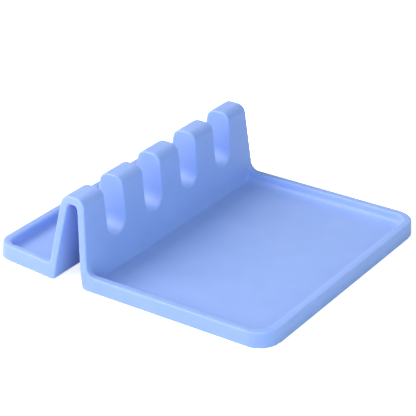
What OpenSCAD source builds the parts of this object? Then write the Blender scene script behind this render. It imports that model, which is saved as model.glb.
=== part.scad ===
// Spoon rest with four slots: one flexible moulding, kept here as three sections that meet face to face.
// Frame: millimetres, X along the ridge, Y from the front tray to the rear tray, Z up,
// origin on the table under the middle of the outline.

/* [Outline] */
// Width of the moulding, along the ridge
body_w = 190; // [170:1:230]
// Front edge to the foot of the ridge's front face
front_tray_l = 130.9; // [90:0.5:180]
// Depth of the ridge at table level, front face to rear face
ridge_l = 32.7; // [31:0.5:45]
// Foot of the ridge's rear face to the rear edge
rear_tray_l = 46.4; // [30:0.5:80]
// Radius of the two front corners, seen from above
front_corner_r = 15; // [9:0.5:30]
// Radius of the two rear corners, seen from above
rear_corner_r = 12; // [9:0.5:18]
// Angle by which each side runs in behind the ridge
rear_taper = 5.1; // [0:0.1:8]

/* [Trays] */
// Thickness of the tray floors
floor_t = 3.5; // [2:0.1:6]
// Height of the rims above the table
rim_h = 10.3; // [8:0.1:16]
// Width of the rims
rim_t = 5.5; // [3:0.1:8]
// Inner radius of the rim at the two front corners
front_inner_r = 9.5; // [5:0.5:24]
// Inner radius of the rim at the two rear corners
rear_inner_r = 4; // [3.5:0.5:12]

/* [Ridge] */
// Height of the crown above the table
ridge_h = 59.7; // [50:0.1:64]
// Wall of the ridge and of the slot troughs
wall_t = 5.4; // [3:0.1:6]
// Lean of the front face
front_lean = 4.9; // [2:0.1:6]
// Lean of the rear face
rear_lean = 10.4; // [5:0.1:11]
// Lean of the two end faces above the foot fillets
end_lean = 5.6; // [0:0.1:8]
// Radius of the crown's two shoulders
crown_r = 6.5; // [3:0.1:7]
// Radius of the hollow's roof corners
roof_r = 3; // [1:0.1:4]
// Fillet between the front face and the tops of the rims
front_foot_r = 6; // [2:0.1:6.5]
// Fillet between the front face and the floor of the front tray
floor_foot_r = 2.5; // [1:0.1:6]
// Fillet between the rear face and the rear tray
rear_foot_r = 3; // [1:0.1:5]

/* [Slots] */
// Number of slots for handles
slot_n = 4; // [2:1:4]
// Distance from slot to slot
slot_pitch = 40.3; // [36:0.1:44]
// Depth of a slot below the crown
slot_d = 34.7; // [25:0.1:38]
// Radius of the round bottom of a slot
slot_r = 8.9; // [6:0.1:10]
// Flare of each slot wall
slot_flare = 0.9; // [0:0.1:3]

/* [Hidden] */
$fn = 96;
rubber_blue = [0.62, 0.72, 0.95];

// Overrun of every cut past the face that it leaves
over = 2;

// How far a leaning face is sunk into the round that it runs into, so that the two cross cleanly
sink = 0.01;

// Largest share of the room under a roof that its two shoulder radii may take
shoulder_share = 0.98;

// Levels along Y, from the front edge to the rear edge
front_y = -(front_tray_l + ridge_l + rear_tray_l) / 2;
ridge_y0 = front_y + front_tray_l;
ridge_y1 = ridge_y0 + ridge_l;
rear_y = ridge_y1 + rear_tray_l;

// Inner lines of the ridge's two legs at table level
hollow_y0 = ridge_y0 + wall_t / cos(front_lean);
hollow_y1 = ridge_y1 - wall_t / cos(rear_lean);
hollow_h = ridge_h - wall_t;

// Middle of the ridge, and the place where the straight sides start to taper
mid_y = (ridge_y0 + ridge_y1) / 2;
taper_y = hollow_y1;
half_w = body_w / 2;

// Height from which the two end faces lean in
end_z = rim_h + rear_foot_r;

// Face of the ridge at a height, front and rear
function face_y0(z) = ridge_y0 + z * tan(front_lean);
function face_y1(z) = ridge_y1 - z * tan(rear_lean);

// Planes where the sections meet, just past the foot fillets on the tray floors
joint_y0 = face_y0(floor_t) - front_foot_r - floor_t;
joint_y1 = face_y1(floor_t) + rear_foot_r + floor_t;

// Slots in a row, centred on the moulding
slot_x = [for (i = [0:slot_n - 1]) (i - (slot_n - 1) / 2) * slot_pitch];
slot_arc_z = ridge_h - slot_d + slot_r;

// Section in the Y, Z plane run along X between two stations
module run_x(x0, x1) {
    translate([x0, 0, 0])
        multmatrix([[0, 0, 1, 0], [1, 0, 0, 0], [0, 1, 0, 0], [0, 0, 0, 1]])
            linear_extrude(x1 - x0)
                children();
}

// Section in the X, Z plane run along Y between two stations
module run_y(y0, y1) {
    translate([0, y1, 0])
        rotate([90, 0, 0])
            linear_extrude(y1 - y0)
                children();
}

// Arch of two leaning legs under a flat roof with round shoulders, from its base up
module arch(y0, y1, base, h, shoulder_r) {
    lean = tan(front_lean) + tan(rear_lean);
    round_limit = (y1 - y0 - h * lean) / (1 / cos(front_lean) + 1 / cos(rear_lean) - lean);
    r = min(shoulder_r, round_limit * shoulder_share);
    arc_z = h - r;
    c0 = y0 + arc_z * tan(front_lean) + r / cos(front_lean);
    c1 = y1 - arc_z * tan(rear_lean) - r / cos(rear_lean);
    polygon([
        [y0 + base * tan(front_lean), base],
        [c0 - (r - sink) * cos(front_lean), arc_z + (r - sink) * sin(front_lean)],
        [c0, h],
        [c1, h],
        [c1 + (r - sink) * cos(rear_lean), arc_z + (r - sink) * sin(rear_lean)],
        [y1 - base * tan(rear_lean), base]
    ]);
    translate([c0, arc_z])
        circle(r);
    translate([c1, arc_z])
        circle(r);
}

// Concave fillet between a level surface and the ridge's front face
module front_foot(level, r) {
    cz = level + r - sink;
    cy = face_y0(cz) - (r - sink) / cos(front_lean);
    difference() {
        polygon([
            [cy, level - floor_t / 2],
            [face_y0(0) + wall_t / 2, level - floor_t / 2],
            [face_y0(0) + wall_t / 2, cz - r * sin(front_lean)],
            [cy + r * cos(front_lean), cz - r * sin(front_lean)]
        ]);
        translate([cy, cz])
            circle(r);
    }
}

// Concave fillet between a level surface and the ridge's rear face
module rear_foot(level) {
    r = rear_foot_r;
    cz = level + r - sink;
    cy = face_y1(cz) + (r - sink) / cos(rear_lean);
    difference() {
        polygon([
            [cy, level - floor_t / 2],
            [face_y1(cz) - wall_t / 2, level - floor_t / 2],
            [face_y1(cz) - wall_t / 2, cz - r * sin(rear_lean)],
            [cy - r * cos(rear_lean), cz - r * sin(rear_lean)]
        ]);
        translate([cy, cz])
            circle(r);
    }
}

// Slot outline in the X, Z plane: round bottom, flared walls, open top
module slot_outline(r) {
    top_z = ridge_h + over;
    foot_x = (r - sink) * cos(slot_flare);
    foot_z = slot_arc_z - (r - sink) * sin(slot_flare);
    top_x = foot_x + (top_z - foot_z) * tan(slot_flare);
    translate([0, slot_arc_z])
        circle(r);
    polygon([[-foot_x, foot_z], [foot_x, foot_z], [top_x, top_z], [-top_x, top_z]]);
}

// Plan from its wide edge on the X axis to a far edge with two round corners
module round_end(length, half, taper, r) {
    y = length - r;
    x = half - y * tan(taper) - r / cos(taper);
    side = [x + (r - sink) * cos(taper), y + (r - sink) * sin(taper)];
    polygon([[half, 0], side, [x, length], [-x, length], [-side[0], side[1]], [-half, 0]]);
    for (s = [-1, 1])
        translate([s * x, y])
            circle(r);
}

// Outline seen from above: straight sides to the ridge's rear leg, then tapered
module body_outline() {
    translate([0, taper_y]) {
        mirror([0, 1])
            round_end(taper_y - front_y, half_w, 0, front_corner_r);
        round_end(rear_y - taper_y, half_w, rear_taper, rear_corner_r);
    }
}

// Plan of the two trays inside their rims, which run on to the middle of the ridge
module tray_plan() {
    rear_half = half_w + (taper_y - mid_y) * tan(rear_taper) - rim_t / cos(rear_taper);
    translate([0, mid_y]) {
        mirror([0, 1])
            round_end(mid_y - front_y - rim_t, half_w - rim_t, 0, front_inner_r);
        round_end(rear_y - rim_t - mid_y, rear_half, rear_taper, rear_inner_r);
    }
}

// Slab with the two trays sunk into it, before its sides are trimmed
module tray_slab() {
    difference() {
        translate([-half_w - over, front_y - over, 0])
            cube([body_w + 2 * over, rear_y - front_y + 2 * over, rim_h]);
        translate([0, 0, floor_t])
            linear_extrude(rim_h - floor_t + over)
                tray_plan();
    }
}

// Solid core of the ridge with its foot fillets on the tray floors
module ridge_core() {
    run_x(-half_w - over, half_w + over) {
        arch(ridge_y0, ridge_y1, 0, ridge_h, crown_r);
        front_foot(floor_t, floor_foot_r);
        rear_foot(floor_t);
    }
}

// Foot fillets where the rims run up to the ridge
module rim_feet() {
    difference() {
        run_x(-half_w - over, half_w + over) {
            front_foot(rim_h, front_foot_r);
            rear_foot(rim_h);
        }
        linear_extrude(ridge_h)
            tray_plan();
    }
}

// Trims the moulding to its outline and to the two leaning ends
module trim_sides() {
    base_x = half_w + end_z * tan(end_lean);
    crown_x = half_w - (ridge_h - end_z) * tan(end_lean);
    intersection() {
        children();
        linear_extrude(ridge_h)
            body_outline();
        run_y(front_y, rear_y)
            polygon([[-base_x, 0], [base_x, 0], [crown_x, ridge_h], [-crown_x, ridge_h]]);
    }
}

// Tunnel under the ridge, which rises into the teeth and passes under the slot troughs
module hollow() {
    difference() {
        run_x(-half_w - over, half_w + over)
            arch(hollow_y0, hollow_y1, -over, hollow_h, roof_r);
        for (x = slot_x)
            translate([x, 0, 0])
                run_y(ridge_y0 - over, ridge_y1 + over)
                    slot_outline(slot_r + wall_t);
    }
}

// Slice of the trimmed moulding between two planes across it
module slice(y0, y1) {
    intersection() {
        trim_sides()
            children();
        translate([-half_w - over, y0, 0])
            cube([body_w + 2 * over, y1 - y0, ridge_h]);
    }
}

// Front tray, which catches the drips of the spoon heads
module drip_tray() {
    color(rubber_blue)
        slice(front_y - over, joint_y0)
            tray_slab();
}

// Hollow ridge whose slots hold the handles
module slotted_ridge() {
    color(rubber_blue)
        slice(joint_y0, joint_y1)
            difference() {
                union() {
                    tray_slab();
                    ridge_core();
                    rim_feet();
                }
                hollow();
                for (x = slot_x)
                    translate([x, 0, 0])
                        run_y(ridge_y0 - over, ridge_y1 + over)
                            slot_outline(slot_r);
            }
}

// Small tray behind the ridge
module rear_tray() {
    color(rubber_blue)
        slice(joint_y1, rear_y + over)
            tray_slab();
}

drip_tray();
slotted_ridge();
rear_tray();
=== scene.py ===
from math import cos, radians, sin, tan

import bpy
from mathutils import Matrix, Vector


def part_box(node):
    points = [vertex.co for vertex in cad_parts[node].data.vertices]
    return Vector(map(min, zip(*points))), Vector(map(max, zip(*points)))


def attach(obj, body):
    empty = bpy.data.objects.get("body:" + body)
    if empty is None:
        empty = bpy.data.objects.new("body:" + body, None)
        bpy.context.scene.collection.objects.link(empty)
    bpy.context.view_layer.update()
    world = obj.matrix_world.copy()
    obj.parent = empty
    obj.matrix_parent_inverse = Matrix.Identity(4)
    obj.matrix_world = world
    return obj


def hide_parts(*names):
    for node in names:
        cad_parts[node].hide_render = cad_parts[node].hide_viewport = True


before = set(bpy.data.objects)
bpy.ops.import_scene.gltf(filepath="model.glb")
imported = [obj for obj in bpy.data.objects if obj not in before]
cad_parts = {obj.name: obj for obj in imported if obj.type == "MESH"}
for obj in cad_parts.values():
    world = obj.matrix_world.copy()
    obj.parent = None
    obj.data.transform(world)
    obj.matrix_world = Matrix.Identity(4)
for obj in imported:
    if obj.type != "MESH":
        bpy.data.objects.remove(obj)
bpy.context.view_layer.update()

# The moulding: one shell of light blue silicone, pressed in one piece and pulled out of its mould,
# with rims, tray floors and hollow ridge in one skin and every edge softly rounded.
# It is built whole here, so that its curves run on across the three sections cut from it below.

mm = 0.001
half_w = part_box("drip_tray")[1].x
front_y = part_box("drip_tray")[0].y
rear_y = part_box("rear_tray")[1].y
rim_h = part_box("drip_tray")[1].z
crown_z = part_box("slotted_ridge")[1].z
floor_z = 3.5 * mm
wall_t = 5.4 * mm

# How far a block runs past the part of the moulding that it cuts or keeps.
spare = 3 * mm

ridge_front_y = 25.9 * mm
ridge_rear_y = 58.6 * mm
front_lean = 4.9
rear_lean = 10.4
hollow_front_y = ridge_front_y + wall_t / cos(radians(front_lean))
hollow_rear_y = ridge_rear_y - wall_t / cos(radians(rear_lean))


def only(piece):
    """Selects one object and makes it the active one."""
    bpy.ops.object.select_all(action="DESELECT")
    piece.select_set(True)
    bpy.context.view_layer.objects.active = piece


def block(name, half_x, y0, y1, z0, z1):
    """A box centred on X between two stations and two levels."""
    bpy.ops.object.select_all(action="DESELECT")
    bpy.ops.mesh.primitive_cube_add(size=1, location=(0, (y0 + y1) / 2, (z0 + z1) / 2))
    piece = bpy.context.object
    piece.name = name
    piece.scale = (2 * half_x, y1 - y0, z1 - z0)
    bpy.ops.object.transform_apply(location=True, rotation=False, scale=True)
    return piece


def pick_points(piece, test):
    """Opens a piece in edit mode with the points that pass the test selected."""
    only(piece)
    bpy.ops.object.mode_set(mode="EDIT")
    bpy.ops.mesh.select_mode(type="VERT")
    bpy.ops.mesh.select_all(action="DESELECT")
    bpy.ops.object.mode_set(mode="OBJECT")
    for v in piece.data.vertices:
        v.select = test(v.co)
    bpy.ops.object.mode_set(mode="EDIT")


def slide(piece, test, step):
    """Moves the points that pass the test."""
    pick_points(piece, test)
    bpy.ops.transform.translate(value=step)
    bpy.ops.object.mode_set(mode="OBJECT")


def narrow(piece, test, factors, centre):
    """Draws the points that pass the test in towards a centre."""
    pick_points(piece, test)
    bpy.ops.transform.resize(value=factors, center_override=centre)
    bpy.ops.object.mode_set(mode="OBJECT")


def score(piece, place, normal):
    """Adds a ring of edges where a plane crosses the piece."""
    pick_points(piece, lambda p: True)
    bpy.ops.mesh.bisect(plane_co=place, plane_no=normal)
    bpy.ops.object.mode_set(mode="OBJECT")


def round_edges(piece, test, radius, angle=90, segments=12):
    """Rounds the edges between two faces at an angle, where both ends of the edge pass the test."""
    only(piece)
    bpy.ops.object.mode_set(mode="EDIT")
    bpy.ops.mesh.select_mode(type="EDGE")
    bpy.ops.mesh.select_all(action="DESELECT")
    bpy.ops.object.mode_set(mode="OBJECT")
    points = piece.data.vertices
    for e in piece.data.edges:
        e.select = test(points[e.vertices[0]].co, points[e.vertices[1]].co)
    bpy.ops.object.mode_set(mode="EDIT")
    bpy.ops.mesh.bevel(
        offset=radius / tan(radians(angle / 2)), segments=segments, profile=0.5, affect="EDGES"
    )
    bpy.ops.object.mode_set(mode="OBJECT")


def level(value, target):
    """True where a coordinate lies at a target."""
    return abs(value - target) < 0.05 * mm


def rises(a, b):
    """True for an edge that climbs from one level to another."""
    return abs(a.z - b.z) > mm


def combine(piece, tool, operation):
    """Joins a tool to the piece, cuts it away or keeps what both share, and removes the tool."""
    only(piece)
    bpy.ops.object.modifier_add(type="BOOLEAN")
    step = piece.modifiers[-1]
    step.operation = operation
    step.solver = "EXACT"
    step.object = tool
    bpy.ops.object.modifier_apply(modifier=step.name)
    bpy.data.objects.remove(tool)


def lean_faces(piece, y0, y1, z0, z1):
    """Leans a block's front and rear faces like those of the ridge, about the table's level."""
    for z in (z0, z1):
        front_shift = z * tan(radians(front_lean))
        rear_shift = -z * tan(radians(rear_lean))
        slide(piece, lambda p: level(p.z, z) and level(p.y, y0), (0, front_shift, 0))
        slide(piece, lambda p: level(p.z, z) and level(p.y, y1), (0, rear_shift, 0))


# Slab of both trays with the solid ridge on it, and fillets where the rims run up to the ridge.
crown_r = 6.5 * mm
front_foot_r = 6 * mm
rear_foot_r = 3 * mm
moulding = block("moulding", half_w + spare, front_y - spare, rear_y + spare, 0, rim_h)
ridge = block("ridge", half_w + spare, ridge_front_y, ridge_rear_y, 0, crown_z)
lean_faces(ridge, ridge_front_y, ridge_rear_y, 0, crown_z)
crown_front_y = ridge_front_y + crown_z * tan(radians(front_lean))
crown_rear_y = ridge_rear_y - crown_z * tan(radians(rear_lean))
for y, lean in ((crown_front_y, front_lean), (crown_rear_y, rear_lean)):
    round_edges(
        ridge,
        lambda a, b: level(a.z, crown_z)
        and level(b.z, crown_z)
        and level(a.y, y)
        and level(b.y, y),
        crown_r,
        angle=90 + lean,
        segments=16,
    )
combine(moulding, ridge, "UNION")
rim_front_y = ridge_front_y + rim_h * tan(radians(front_lean))
rim_rear_y = ridge_rear_y - rim_h * tan(radians(rear_lean))
for y, lean, radius in (
    (rim_front_y, front_lean, front_foot_r),
    (rim_rear_y, rear_lean, rear_foot_r),
):
    round_edges(
        moulding,
        lambda a, b: level(a.z, rim_h) and level(b.z, rim_h) and level(a.y, y) and level(b.y, y),
        radius,
        angle=90 + lean,
    )

# Front tray: inner walls with round front corners that lean out a little as they rise,
# and a floor that dishes up to them on three sides.
side_rim_t = 5.5 * mm
front_rim_t = 5.7 * mm
front_pan_corner_r = 9.5 * mm
draft = mm
pan_top = crown_z + spare
inner_half_w = half_w - side_rim_t
pan_front_y = front_y + front_rim_t

# How far the trays are cut into the ridge's two faces, so that a cut and a face share no plane.
shave = 0.02 * mm

# Steps of the dished floor from the wall inwards: how far in, and how far down.
dish = ((1.3 * mm, 1.3 * mm), (2.0 * mm, 0.8 * mm), (2.7 * mm, 0.4 * mm))
wall_foot_z = floor_z + sum(drop for run, drop in dish)
pan = block("front_pan", inner_half_w, pan_front_y, ridge_front_y, wall_foot_z, pan_top)
score(pan, (0, 0, rim_h), (0, 0, 1))
for z in (wall_foot_z, rim_h, pan_top):
    slide(pan, lambda p: level(p.z, z) and p.y > 0, (0, z * tan(radians(front_lean)) + shave, 0))
narrow(
    pan,
    lambda p: level(p.z, wall_foot_z),
    (1 - draft / inner_half_w, 1, 1),
    (0, 0, wall_foot_z),
)
slide(pan, lambda p: level(p.z, wall_foot_z) and p.y < 0, (0, draft, 0))
round_edges(pan, lambda a, b: rises(a, b) and a.y < 0 and b.y < 0, front_pan_corner_r)
z = wall_foot_z
for run, drop in dish:
    pick_points(pan, lambda p: level(p.z, z))
    bpy.ops.mesh.inset(thickness=run)
    bpy.ops.transform.translate(value=(0, 0, -drop))
    bpy.ops.object.mode_set(mode="OBJECT")
    z -= drop
    slide(pan, lambda p: level(p.z, z) and p.y > 0, (0, run - drop * tan(radians(front_lean)), 0))
combine(moulding, pan, "DIFFERENCE")

# Rear tray: tapered sides, and a rear wall that leans out, with a cove at its foot and a soft lip.
taper_angle = 5.1
side_taper = tan(radians(taper_angle))
rear_rim_t = 6.4 * mm
rear_wall_lean = 2.4 * mm
rear_pan_corner_r = 8 * mm
rear_lip_r = 3 * mm
rear_lip_reach = 9 * mm
cove_r = 2.5 * mm
pan_rear_y = rear_y - rear_rim_t
pan = block("rear_pan", inner_half_w, ridge_rear_y, pan_rear_y, floor_z, pan_top)
foot_y = ridge_rear_y - floor_z * tan(radians(rear_lean)) - shave
top_y = ridge_rear_y - pan_top * tan(radians(rear_lean)) - shave
for z, y in ((floor_z, foot_y), (pan_top, top_y)):
    slide(pan, lambda p: level(p.z, z) and level(p.y, ridge_rear_y), (0, y - ridge_rear_y, 0))
for y in (foot_y, top_y, pan_rear_y):
    run_in = (y - hollow_rear_y) * side_taper
    narrow(pan, lambda p: level(p.y, y), (1 - run_in / inner_half_w, 1, 1), (0, y, 0))
score(pan, (0, 0, rim_h), (0, 0, 1))
slide(pan, lambda p: level(p.z, floor_z) and level(p.y, pan_rear_y), (0, -rear_wall_lean, 0))
past_foot_y = foot_y + 10 * mm
round_edges(
    pan, lambda a, b: rises(a, b) and min(a.y, b.y) > past_foot_y, rear_pan_corner_r, angle=95
)
round_edges(
    pan,
    lambda a, b: level(a.z, floor_z) and level(b.z, floor_z) and max(a.y, b.y) > foot_y + mm,
    cove_r,
    segments=6,
)
combine(moulding, pan, "DIFFERENCE")
round_edges(
    moulding,
    lambda a, b: level(a.z, rim_h)
    and level(b.z, rim_h)
    and pan_rear_y - rear_lip_reach < min(a.y, b.y)
    and max(a.y, b.y) < pan_rear_y + mm
    and abs(a.x) < inner_half_w
    and abs(b.x) < inner_half_w,
    rear_lip_r,
    angle=109,
    segments=8,
)

# Slots: a round bar across the ridge, whose upper half is drawn up past the crown
# and widened a little.
slot_pitch_in_mm = 40.3
slot_x = [(i - 1.5) * slot_pitch_in_mm * mm for i in range(4)]
slot_r = 8.9 * mm
slot_axis_z = 33.9 * mm
slot_flare = tan(radians(0.9))


def slot_bar(name, x, radius):
    """A bar across the ridge with a round bottom and sides that flare to above the crown."""
    bpy.ops.object.select_all(action="DESELECT")
    bpy.ops.mesh.primitive_cylinder_add(
        vertices=64,
        radius=radius,
        depth=ridge_rear_y - ridge_front_y + 4 * spare,
        location=(x, (ridge_front_y + ridge_rear_y) / 2, slot_axis_z),
        rotation=(radians(90), 0, 0),
    )
    bar = bpy.context.object
    bar.name = name
    bpy.ops.object.transform_apply(location=True, rotation=True, scale=True)
    rise = crown_z - slot_axis_z
    widen = 1 + rise * slot_flare / radius
    slide(bar, lambda p: p.z > slot_axis_z + shave, (0, 0, rise))
    narrow(bar, lambda p: p.z > slot_axis_z + rise, (widen, 1, 1), (x, 0, slot_axis_z))
    return bar


# Hollow: an open-ended tunnel under the ridge that rises into the teeth and dips under the slots,
# with its lower edges rounded where they stand on the table.
roof_r = 3 * mm
toe_r = 1.5 * mm
roof_z = crown_z - wall_t
hollow = block("hollow", half_w + 2 * spare, hollow_front_y, hollow_rear_y, -spare, roof_z)
lean_faces(hollow, hollow_front_y, hollow_rear_y, -spare, roof_z)
round_edges(
    hollow,
    lambda a, b: level(a.z, roof_z) and level(b.z, roof_z) and level(a.y, b.y),
    roof_r,
    angle=97,
    segments=8,
)
for x in slot_x:
    combine(hollow, slot_bar("trough", x, slot_r + wall_t), "DIFFERENCE")
combine(moulding, hollow, "DIFFERENCE")
for x in slot_x:
    combine(moulding, slot_bar("slot", x, slot_r), "DIFFERENCE")
for y, lean in ((hollow_front_y, front_lean), (hollow_rear_y, rear_lean)):
    round_edges(
        moulding,
        lambda a, b: level(a.z, 0) and level(b.z, 0) and level(a.y, y) and level(b.y, y),
        toe_r,
        angle=90 + lean,
        segments=6,
    )

# Outline: straight sides to the rear leg, then a taper, four round corners, leaning ridge ends,
# and outer walls that lean in a little as they rise, most of all around the rear tray.
front_corner_r = 15 * mm
rear_corner_r = 12 * mm
end_lean = 5.6
top = crown_z + spare
outline = block("outline", half_w, front_y, rear_y, -spare, top)
score(outline, (0, hollow_rear_y, 0), (0, 1, 0))
run_in = (rear_y - hollow_rear_y) * side_taper
narrow(outline, lambda p: level(p.y, rear_y), (1 - run_in / half_w, 1, 1), (0, rear_y, 0))
round_edges(outline, lambda a, b: rises(a, b) and level(a.y, front_y), front_corner_r, segments=20)
round_edges(
    outline,
    lambda a, b: rises(a, b) and level(a.y, rear_y),
    rear_corner_r,
    angle=90 + taper_angle,
    segments=16,
)
lean_z = rim_h + spare
lean_in = (top - lean_z) * tan(radians(end_lean))
score(outline, (0, 0, 0), (0, 0, 1))
score(outline, (0, 0, lean_z), (0, 0, 1))
narrow(outline, lambda p: level(p.z, top), (1 - lean_in / half_w, 1, 1), (0, 0, top))
leg = (0, hollow_rear_y, 0)
behind_leg_y = hollow_rear_y + mm
rear_draw_in = (0.987, 0.984, 1)
front_draw_in = (0.996, 0.998, 1)
narrow(outline, lambda p: p.z > mm and p.y > behind_leg_y, rear_draw_in, leg)
narrow(outline, lambda p: level(p.z, lean_z) and p.y < behind_leg_y, front_draw_in, leg)
combine(moulding, outline, "INTERSECT")

# Soft moulded edges: an even skin of small faces, relaxed until every edge is rounded.
# It is relaxed less in the ridge's crease, at the dished floor's edge and on the flat underside.
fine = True
only(moulding)
bpy.ops.object.modifier_add(type="REMESH")
skin = moulding.modifiers[-1]
skin.mode = "VOXEL"
skin.voxel_size = (0.5 if fine else 1.0) * mm
bpy.ops.object.modifier_apply(modifier=skin.name)
relaxed = moulding.vertex_groups.new(name="relaxed")
crease_y = ridge_front_y + floor_z * tan(radians(front_lean))
crease_reach = 2 * mm
toe_reach = 3 * mm
for v in moulding.data.vertices:
    x, y, z = v.co
    in_crease = abs(y - crease_y) < crease_reach and abs(z - floor_z) < crease_reach
    at_toe = hollow_front_y - toe_reach < y < hollow_rear_y + toe_reach
    under = z < 1.5 * mm
    in_pan = abs(x) < inner_half_w + mm and pan_front_y - mm < y < ridge_front_y - crease_reach
    share = 1
    if under and not at_toe:
        share = 0.05
    if in_crease and abs(x) < inner_half_w:
        share = 0.2
    if in_pan and floor_z + 1.4 * mm < z < floor_z + 3.6 * mm:
        share = 0.3
    relaxed.add([v.index], share, "REPLACE")
bpy.ops.object.modifier_add(type="SMOOTH")
relax = moulding.modifiers[-1]
relax.factor = 0.5
relax.iterations = 16 if fine else 4
relax.vertex_group = relaxed.name
bpy.ops.object.modifier_apply(modifier=relax.name)
moulding.vertex_groups.clear()
if fine:
    bpy.ops.object.modifier_add(type="DECIMATE")
    thin = moulding.modifiers[-1]
    thin.ratio = 0.35
    bpy.ops.object.modifier_apply(modifier=thin.name)

# Silicone: satin light blue, coloured through, with a faint mottle and the mould's fine grain.
silicone = bpy.data.materials.new("blue_silicone")
silicone.use_nodes = True
tree = silicone.node_tree
shader = tree.nodes["Principled BSDF"]
shader.inputs["Roughness"].default_value = 0.45
shader.inputs["IOR"].default_value = 1.41
shader.inputs["Specular IOR Level"].default_value = 0.5
shader.inputs["Sheen Weight"].default_value = 0.25
shader.inputs["Sheen Roughness"].default_value = 0.4
shader.inputs["Subsurface Weight"].default_value = 0.35
shader.inputs["Subsurface Radius"].default_value = (1, 1, 1)
shader.inputs["Subsurface Scale"].default_value = 0.004
coords = tree.nodes.new("ShaderNodeTexCoord")
mottle = tree.nodes.new("ShaderNodeTexNoise")
mottle.inputs["Scale"].default_value = 60
mottle.inputs["Detail"].default_value = 3
tint = tree.nodes.new("ShaderNodeValToRGB")
tint.color_ramp.elements[0].position = 0.3
tint.color_ramp.elements[0].color = (0.26, 0.395, 0.82, 1)
tint.color_ramp.elements[1].position = 0.7
tint.color_ramp.elements[1].color = (0.28, 0.415, 0.84, 1)
grain = tree.nodes.new("ShaderNodeTexNoise")
grain.inputs["Scale"].default_value = 2500
grain.inputs["Detail"].default_value = 2
bump = tree.nodes.new("ShaderNodeBump")
bump.inputs["Strength"].default_value = 0.05
bump.inputs["Distance"].default_value = 0.0001
tree.links.new(coords.outputs["Object"], mottle.inputs["Vector"])
tree.links.new(coords.outputs["Object"], grain.inputs["Vector"])
tree.links.new(mottle.outputs["Fac"], tint.inputs["Fac"])
tree.links.new(tint.outputs["Color"], shader.inputs["Base Color"])
tree.links.new(grain.outputs["Fac"], bump.inputs["Height"])
tree.links.new(bump.outputs["Normal"], shader.inputs["Normal"])
moulding.data.materials.clear()
moulding.data.materials.append(silicone)


def section(name, node, y0=None, y1=None):
    """Takes one section out of the moulding, closed on its joint planes, in place of its node."""
    only(moulding)
    bpy.ops.object.duplicate()
    piece = bpy.context.object
    piece.name = name
    for y, side in ((y0, -1), (y1, 1)):
        if y is not None:
            bpy.ops.object.mode_set(mode="EDIT")
            bpy.ops.mesh.select_all(action="SELECT")
            bpy.ops.mesh.bisect(
                plane_co=(0, y, 0), plane_no=(0, side, 0), use_fill=True, clear_outer=True
            )
            bpy.ops.object.mode_set(mode="OBJECT")
    only(piece)
    bpy.ops.object.shade_smooth_by_angle(angle=radians(50))
    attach(piece, "root")
    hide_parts(node)


# Drip tray: the wide front tray with its rim on three sides, where the spoon heads lie.
# It is the front of the silicone moulding, up to a plane just in front of the ridge's foot,
# and its floor, dished up to the rim, keeps what drips off the spoons from running out.
front_joint_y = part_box("drip_tray")[1].y
section("spoon_drip_tray", "drip_tray", y1=front_joint_y)

# Slotted ridge: the hollow arch whose four slots hold the handles.
# It is the middle of the silicone moulding, moulded in one with both trays, open at both ends
# and from below, so that it springs a little under a heavy handle.
rear_joint_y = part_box("rear_tray")[0].y
section("handle_ridge", "slotted_ridge", front_joint_y, rear_joint_y)

# Rear tray: the small tapered tray behind the ridge, which steadies the rest and takes small
# things. It is the back of the silicone moulding, with a rim on three sides like the drip tray's.
section("small_rear_tray", "rear_tray", y0=rear_joint_y)
bpy.data.objects.remove(moulding)

# Table: a plain white matt top that the rest stands on, and that keeps its soft shadow.
# Seen by the camera it is a little brighter, which makes the background white.
bpy.ops.object.select_all(action="DESELECT")
bpy.ops.mesh.primitive_plane_add(size=6, location=(0, 0, -0.1 * mm))
table = bpy.context.object
table.name = "table_top"
white = bpy.data.materials.new("white_table")
white.use_nodes = True
tree = white.node_tree
paper = tree.nodes["Principled BSDF"]
paper.inputs["Base Color"].default_value = (0.8, 0.8, 0.8, 1)
paper.inputs["Roughness"].default_value = 0.9
glow = tree.nodes.new("ShaderNodeEmission")
glow.inputs["Strength"].default_value = 0.7
rays = tree.nodes.new("ShaderNodeLightPath")
both = tree.nodes.new("ShaderNodeAddShader")
mix = tree.nodes.new("ShaderNodeMixShader")
tree.links.new(rays.outputs["Is Camera Ray"], mix.inputs["Fac"])
tree.links.new(paper.outputs["BSDF"], both.inputs[0])
tree.links.new(glow.outputs["Emission"], both.inputs[1])
tree.links.new(paper.outputs["BSDF"], mix.inputs[1])
tree.links.new(both.outputs["Shader"], mix.inputs[2])
tree.links.new(mix.outputs["Shader"], tree.nodes["Material Output"].inputs["Surface"])
table.data.materials.append(white)

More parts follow.
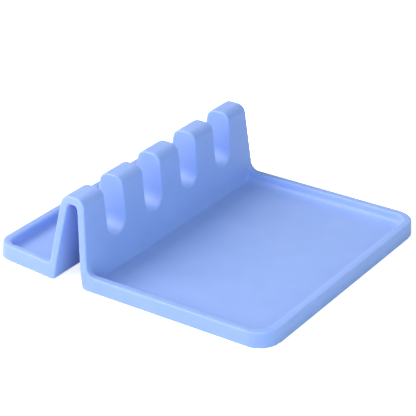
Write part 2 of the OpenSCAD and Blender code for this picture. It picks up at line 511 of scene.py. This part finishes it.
# Light: three broad soft lamps, left behind the ridge, behind it and left in front,
# the first two a little warm and the third a little cool, in a pale, slightly cool room.
lamp_side = 1.2
for name, spot, watts, colour in (
    ("key_lamp", (-1.0, 0.7, 0.9), 16.5, (1, 0.9, 0.85)),
    ("rear_lamp", (-0.38, 1.02, 1.05), 17.5, (1, 0.93, 0.87)),
    ("fill_lamp", (-0.83, -1.08, 0.67), 12.5, (0.84, 0.99, 1)),
):
    lamp_data = bpy.data.lights.new(name, "AREA")
    lamp_data.shape = "RECTANGLE"
    lamp_data.size = lamp_side
    lamp_data.size_y = lamp_side
    lamp_data.energy = watts
    lamp_data.color = colour
    lamp = bpy.data.objects.new(name, lamp_data)
    bpy.context.scene.collection.objects.link(lamp)
    lamp.location = spot
    lamp.rotation_mode = "QUATERNION"
    lamp.rotation_quaternion = (-lamp.location).to_track_quat("-Z", "Y")

world = bpy.data.worlds.new("pale_room")
world.use_nodes = True
bpy.context.scene.world = world
tree = world.node_tree
room = tree.nodes["Background"]
room.inputs["Color"].default_value = (0.88, 0.97, 1, 1)
room.inputs["Strength"].default_value = 0.32
seen = tree.nodes.new("ShaderNodeBackground")
seen.inputs["Color"].default_value = (1, 1, 1, 1)
seen.inputs["Strength"].default_value = 1
rays = tree.nodes.new("ShaderNodeLightPath")
mix = tree.nodes.new("ShaderNodeMixShader")
tree.links.new(rays.outputs["Is Camera Ray"], mix.inputs["Fac"])
tree.links.new(room.outputs["Background"], mix.inputs[1])
tree.links.new(seen.outputs["Background"], mix.inputs[2])
tree.links.new(mix.outputs["Shader"], tree.nodes["World Output"].inputs["Surface"])

# Camera: the photograph's place and lens, on the left in front and a little above,
# with the whole rest in view and nothing out of focus.
camera_data = bpy.data.cameras.new("photo_camera")
camera_data.sensor_width = 36
camera_data.lens = 145.444
camera = bpy.data.objects.new("photo_camera", camera_data)
bpy.context.scene.collection.objects.link(camera)
yaw = radians(34.0351)
pitch = radians(26.5982)
sight = Vector((cos(yaw) * cos(pitch), sin(yaw) * cos(pitch), -sin(pitch)))
across = Vector((sin(yaw), -cos(yaw), 0))
above = across.cross(sight)
eye = Vector((-807.02, -544.63, 513.59)) * mm
turn = Matrix((across, above, -sight)).transposed().to_4x4()
camera.matrix_world = Matrix.Translation(eye) @ turn
bpy.context.scene.camera = camera
bpy.context.scene.view_settings.view_transform = "Standard"
